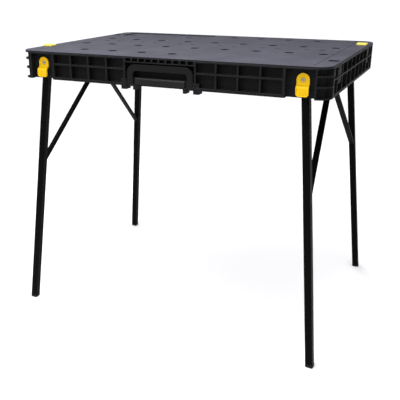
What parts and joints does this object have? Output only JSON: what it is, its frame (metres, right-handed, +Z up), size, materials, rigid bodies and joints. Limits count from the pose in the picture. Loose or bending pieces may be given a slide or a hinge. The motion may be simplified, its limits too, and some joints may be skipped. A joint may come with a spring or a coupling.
{
  "type": "folding portable workbench",
  "caption": "Folding portable workbench: ribbed plastic top with clamp holes and corner stops, carry handle, splayed braced steel legs that fold under the top.",
  "frame": {"origin": "on the floor, under the middle of the top", "axes": "+X along the long side, +Y from the handle side to the back, +Z up"},
  "size_m": [0.9001, 0.666, 0.7669],
  "materials": {
    "deck_plastic": "fine grained dark grey",
    "skirt_plastic": "fine grained black",
    "trim_plastic": "satin black",
    "handle_plastic": "satin black",
    "bracket_steel": "black powder coat",
    "pin_steel": "zinc plated",
    "screw_steel": "zinc plated",
    "latch_plastic": "satin yellow",
    "stop_plastic": "satin yellow",
    "boot_plastic": "matt black",
    "leg_paint": "black powder coat"
  },
  "bodies": {
    "table": {"deck_panel": "deck_plastic", "skirt_frame": "skirt_plastic", "front_plate": "trim_plastic", "hinge_block_left": "trim_plastic", "hinge_block_right": "trim_plastic", "handle_pin_left": "pin_steel", "handle_pin_right": "pin_steel", "leg_bracket_front_left": "bracket_steel", "leg_pin_front_left": "pin_steel", "brace_pin_front_left": "pin_steel", "leg_bracket_back_left": "bracket_steel", "leg_pin_back_left": "pin_steel", "brace_pin_back_left": "pin_steel", "leg_bracket_front_right": "bracket_steel", "leg_pin_front_right": "pin_steel", "brace_pin_front_right": "pin_steel", "leg_bracket_back_right": "bracket_steel", "leg_pin_back_right": "pin_steel", "brace_pin_back_right": "pin_steel"},
    "leg_front_left": {"leg_front_left": "leg_paint", "foot_cap_front_left": "boot_plastic", "brace_front_left": "leg_paint", "brace_eye_front_left": "bracket_steel"},
    "latch_front_left": {"latch_front_left": "latch_plastic", "latch_screw_front_left": "screw_steel"},
    "leg_back_left": {"leg_back_left": "leg_paint", "foot_cap_back_left": "boot_plastic", "brace_back_left": "leg_paint", "brace_eye_back_left": "bracket_steel"},
    "latch_back_left": {"latch_back_left": "latch_plastic", "latch_screw_back_left": "screw_steel"},
    "leg_front_right": {"leg_front_right": "leg_paint", "foot_cap_front_right": "boot_plastic", "brace_front_right": "leg_paint", "brace_eye_front_right": "bracket_steel"},
    "latch_front_right": {"latch_front_right": "latch_plastic", "latch_screw_front_right": "screw_steel"},
    "leg_back_right": {"leg_back_right": "leg_paint", "foot_cap_back_right": "boot_plastic", "brace_back_right": "leg_paint", "brace_eye_back_right": "bracket_steel"},
    "latch_back_right": {"latch_back_right": "latch_plastic", "latch_screw_back_right": "screw_steel"},
    "handle": {"carry_handle": "handle_plastic"},
    "stop_front_left": {"work_stop_front_left": "stop_plastic"},
    "stop_back_right": {"work_stop_back_right": "stop_plastic"}
  },
  "joints": [
    {"name": "fold_front_left", "type": "hinge", "parent": "table", "child": "leg_front_left", "pos_m": [-0.36479, -0.26323, 0.735], "axis": [0.0486, -0.9946, 0.0916], "range_deg": [0, 96.1]},
    {"name": "latch_turn_front_left", "type": "hinge", "parent": "table", "child": "latch_front_left", "pos_m": [-0.364, -0.2833, 0.7285], "axis": [0, -1, 0], "range_deg": [0, 48]},
    {"name": "fold_back_left", "type": "hinge", "parent": "table", "child": "leg_back_left", "pos_m": [-0.36479, 0.26323, 0.735], "axis": [-0.0486, -0.9946, -0.0916], "range_deg": [0, 96.1]},
    {"name": "latch_turn_back_left", "type": "hinge", "parent": "table", "child": "latch_back_left", "pos_m": [-0.364, 0.2833, 0.7285], "axis": [0, -1, 0], "range_deg": [0, 48]},
    {"name": "fold_front_right", "type": "hinge", "parent": "table", "child": "leg_front_right", "pos_m": [0.36724, -0.26517, 0.711], "axis": [0.0545, 0.997, -0.0555], "range_deg": [0, 95.9]},
    {"name": "latch_turn_front_right", "type": "hinge", "parent": "table", "child": "latch_front_right", "pos_m": [0.364, -0.2833, 0.7285], "axis": [0, 1, 0], "range_deg": [0, 48]},
    {"name": "fold_back_right", "type": "hinge", "parent": "table", "child": "leg_back_right", "pos_m": [0.36724, 0.26517, 0.711], "axis": [-0.0545, 0.997, 0.0555], "range_deg": [0, 95.9]},
    {"name": "latch_turn_back_right", "type": "hinge", "parent": "table", "child": "latch_back_right", "pos_m": [0.364, 0.2833, 0.7285], "axis": [0, 1, 0], "range_deg": [0, 48]},
    {"name": "handle_swing", "type": "hinge", "parent": "table", "child": "handle", "pos_m": [0, -0.2905, 0.691], "axis": [1, 0, 0], "range_deg": [0, 95]},
    {"name": "stop_lift_front_left", "type": "slide", "parent": "table", "child": "stop_front_left", "axis": [0, 0, 1], "range_m": [0, 0.022]},
    {"name": "stop_lift_back_right", "type": "slide", "parent": "table", "child": "stop_back_right", "axis": [0, 0, 1], "range_m": [0, 0.022]}
  ]
}
